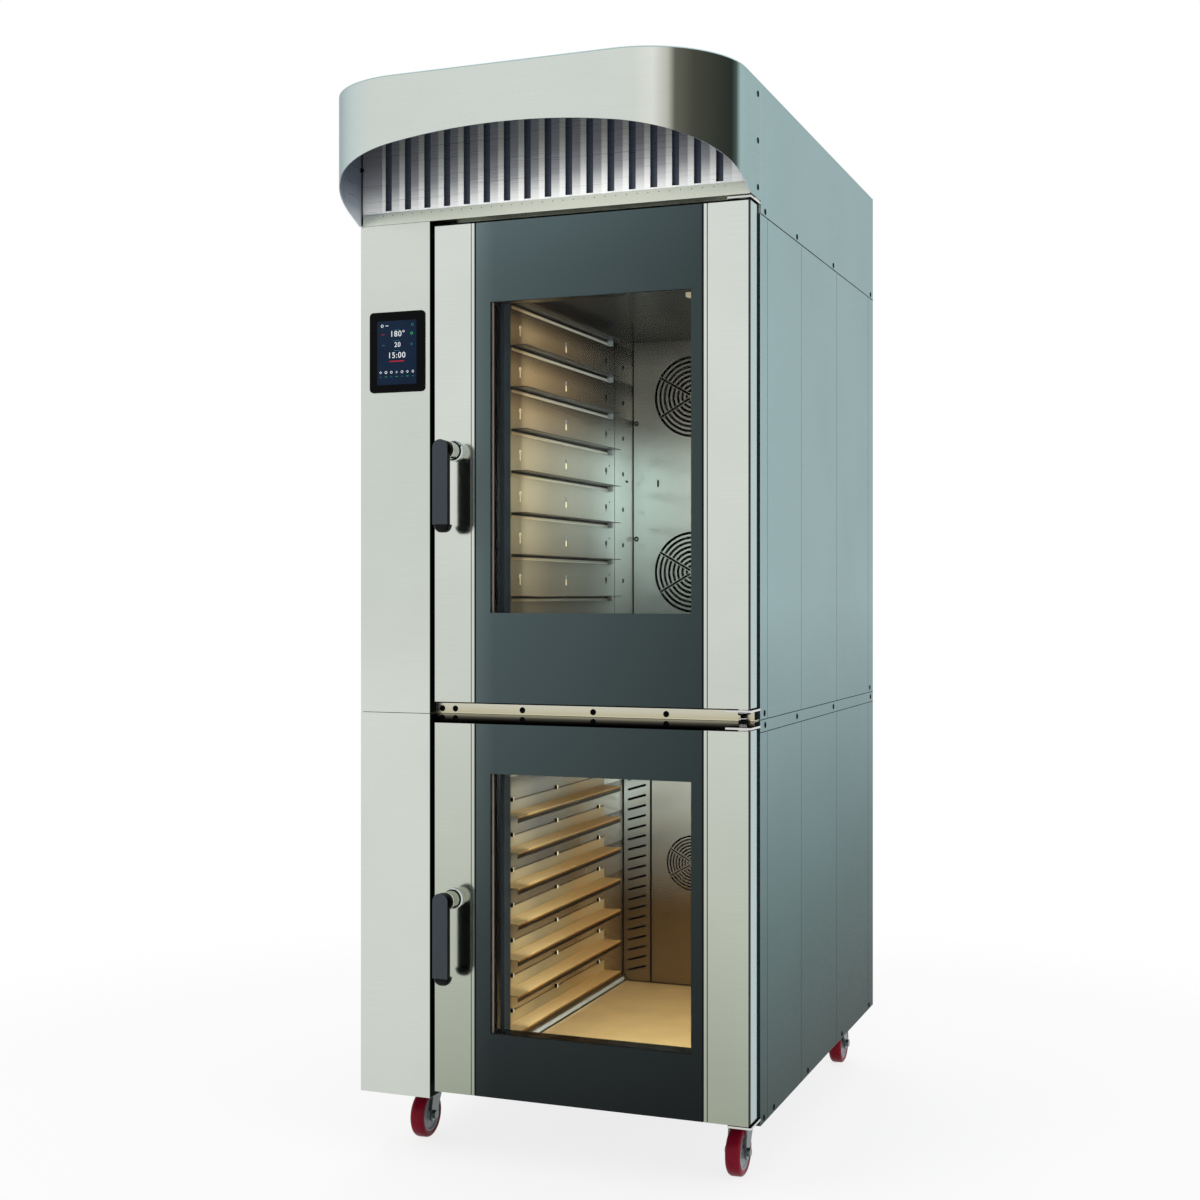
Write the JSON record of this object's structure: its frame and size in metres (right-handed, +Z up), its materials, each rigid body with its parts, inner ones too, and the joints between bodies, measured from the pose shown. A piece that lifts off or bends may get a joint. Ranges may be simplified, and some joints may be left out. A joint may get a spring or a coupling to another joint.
{
  "type": "pastry oven",
  "caption": "Bakery stack on casters: convection oven above a proofing cabinet, glass doors with lever handles, touch display column and a steam hood.",
  "frame": {"origin": "on the floor under the middle of the stack's plan box", "axes": "+X to the right seen from the front, +Y to the back, +Z up"},
  "size_m": [0.8624, 1.378, 2.25],
  "materials": {
    "front_steel": "vertical brushed stainless",
    "panel_steel": "satin stainless, cool grey",
    "hood_steel": "horizontal brushed stainless",
    "filter_steel": "satin stainless",
    "chamber_steel": "satin stainless, warm lit",
    "frame_steel": "galvanised",
    "rail_steel": "satin stainless",
    "chrome": "polished",
    "pane_glass": "clear",
    "border_enamel": "opaque slate enamel",
    "seal_rubber": "matte black",
    "grip_plastic": "fine matte",
    "bezel_plastic": "gloss black",
    "screen": "lit touch screen",
    "board_plastic": "circuit board",
    "wool": "mineral wool",
    "element_steel": "heat-darkened",
    "fan_steel": "satin",
    "motor_paint": "satin",
    "lamp_glass": "frosted",
    "caster_steel": "zinc plated",
    "wheel_rubber": "red tread",
    "screw_steel": "dark satin",
    "pipe_brass": "satin",
    "gland_plastic": "matte black"
  },
  "bodies": {
    "cabinet": {"base_frame": "frame_steel", "body_frame": "frame_steel", "proofer_side_panels": "panel_steel", "oven_side_panels": "panel_steel", "rear_panels": "panel_steel", "column_lower": "front_steel", "column_upper": "front_steel", "display_bezel": "bezel_plastic", "display_screen": "screen", "control_board": "board_plastic", "oven_front_frame": "frame_steel", "proofer_front_frame": "frame_steel", "oven_chamber": "chamber_steel", "proofer_chamber": "chamber_steel", "oven_insulation": "wool", "proofer_insulation": "wool", "oven_fan_baffle": "chamber_steel", "proofer_fan_baffle": "chamber_steel", "oven_tray_rails": "rail_steel", "proofer_tray_rails": "rail_steel", "door_gaskets": "seal_rubber", "latch_keepers": "chrome", "fan_motors": "motor_paint", "heating_elements": "element_steel", "chamber_lamps": "lamp_glass", "humidifier_tray": "chamber_steel", "hinge_brackets": "chrome", "mid_band": "front_steel", "hood_skirt": "hood_steel", "hood_side_panels": "panel_steel", "hood_roof": "panel_steel", "hood_rear_panel": "panel_steel", "hood_ledge": "hood_steel", "hood_filter": "filter_steel", "exhaust_spigot": "panel_steel", "water_fittings": "pipe_brass", "cable_gland": "gland_plastic", "panel_screws": "screw_steel"},
    "oven_door": {"oven_door_frame": "front_steel", "oven_door_glass": "pane_glass", "oven_door_border": "border_enamel"},
    "oven_handle": {"oven_latch": "chrome", "oven_grip": "grip_plastic"},
    "proofer_door": {"proofer_door_frame": "front_steel", "proofer_door_glass": "pane_glass", "proofer_door_border": "border_enamel"},
    "proofer_handle": {"proofer_latch": "chrome", "proofer_grip": "grip_plastic"},
    "upper_oven_fan": {"oven_fan_upper": "fan_steel"},
    "lower_oven_fan": {"oven_fan_lower": "fan_steel"},
    "proofing_fan": {"proofer_fan": "fan_steel"},
    "steam_fan": {"hood_fan": "fan_steel"},
    "swivel_front_left": {"caster_fork_front_left": "caster_steel"},
    "wheel_front_left": {"caster_wheel_front_left": "wheel_rubber"},
    "swivel_front_right": {"caster_fork_front_right": "caster_steel"},
    "wheel_front_right": {"caster_wheel_front_right": "wheel_rubber"},
    "swivel_rear_left": {"caster_fork_rear_left": "caster_steel"},
    "wheel_rear_left": {"caster_wheel_rear_left": "wheel_rubber"},
    "swivel_rear_right": {"caster_fork_rear_right": "caster_steel"},
    "wheel_rear_right": {"caster_wheel_rear_right": "wheel_rubber"}
  },
  "joints": [
    {"name": "oven_door_hinge", "type": "hinge", "parent": "cabinet", "child": "oven_door", "pos_m": [0.408, -0.434, 1.4635], "axis": [0, 0, 1], "range_deg": [0, 120]},
    {"name": "oven_handle_turn", "type": "hinge", "parent": "oven_door", "child": "oven_handle", "pos_m": [-0.206, -0.457, 1.487], "axis": [0, 1, 0], "range_deg": [-90, 90]},
    {"name": "proofer_door_hinge", "type": "hinge", "parent": "cabinet", "child": "proofer_door", "pos_m": [0.408, -0.434, 0.539], "axis": [0, 0, 1], "range_deg": [0, 120]},
    {"name": "proofer_handle_turn", "type": "hinge", "parent": "proofer_door", "child": "proofer_handle", "pos_m": [-0.206, -0.457, 0.56], "axis": [0, 1, 0], "range_deg": [-90, 90]},
    {"name": "upper_oven_fan_spin", "type": "hinge", "parent": "cabinet", "child": "upper_oven_fan", "pos_m": [0.03, 0.496, 1.687], "axis": [0, 1, 0], "continuous": true},
    {"name": "lower_oven_fan_spin", "type": "hinge", "parent": "cabinet", "child": "lower_oven_fan", "pos_m": [0.03, 0.496, 1.246], "axis": [0, 1, 0], "continuous": true},
    {"name": "proofing_fan_spin", "type": "hinge", "parent": "cabinet", "child": "proofing_fan", "pos_m": [0.03, 0.496, 0.515], "axis": [0, 1, 0], "continuous": true},
    {"name": "steam_fan_spin", "type": "hinge", "parent": "cabinet", "child": "steam_fan", "pos_m": [0, 0.45, 2.06], "axis": [0, 0, 1], "continuous": true},
    {"name": "caster_front_left_swivel", "type": "hinge", "parent": "cabinet", "child": "swivel_front_left", "pos_m": [-0.3565, -0.259, 0.12], "axis": [0, 0, 1], "continuous": true},
    {"name": "caster_front_left_roll", "type": "hinge", "parent": "swivel_front_left", "child": "wheel_front_left", "pos_m": [-0.3565, -0.289, 0.05], "axis": [1, 0, 0], "continuous": true},
    {"name": "caster_front_right_swivel", "type": "hinge", "parent": "cabinet", "child": "swivel_front_right", "pos_m": [0.3565, -0.259, 0.12], "axis": [0, 0, 1], "continuous": true},
    {"name": "caster_front_right_roll", "type": "hinge", "parent": "swivel_front_right", "child": "wheel_front_right", "pos_m": [0.3565, -0.289, 0.05], "axis": [1, 0, 0], "continuous": true},
    {"name": "caster_rear_left_swivel", "type": "hinge", "parent": "cabinet", "child": "swivel_rear_left", "pos_m": [-0.3565, 0.589, 0.12], "axis": [0, 0, 1], "continuous": true},
    {"name": "caster_rear_left_roll", "type": "hinge", "parent": "swivel_rear_left", "child": "wheel_rear_left", "pos_m": [-0.3565, 0.619, 0.05], "axis": [1, 0, 0], "continuous": true},
    {"name": "caster_rear_right_swivel", "type": "hinge", "parent": "cabinet", "child": "swivel_rear_right", "pos_m": [0.3565, 0.589, 0.12], "axis": [0, 0, 1], "continuous": true},
    {"name": "caster_rear_right_roll", "type": "hinge", "parent": "swivel_rear_right", "child": "wheel_rear_right", "pos_m": [0.3565, 0.619, 0.05], "axis": [1, 0, 0], "continuous": true}
  ]
}
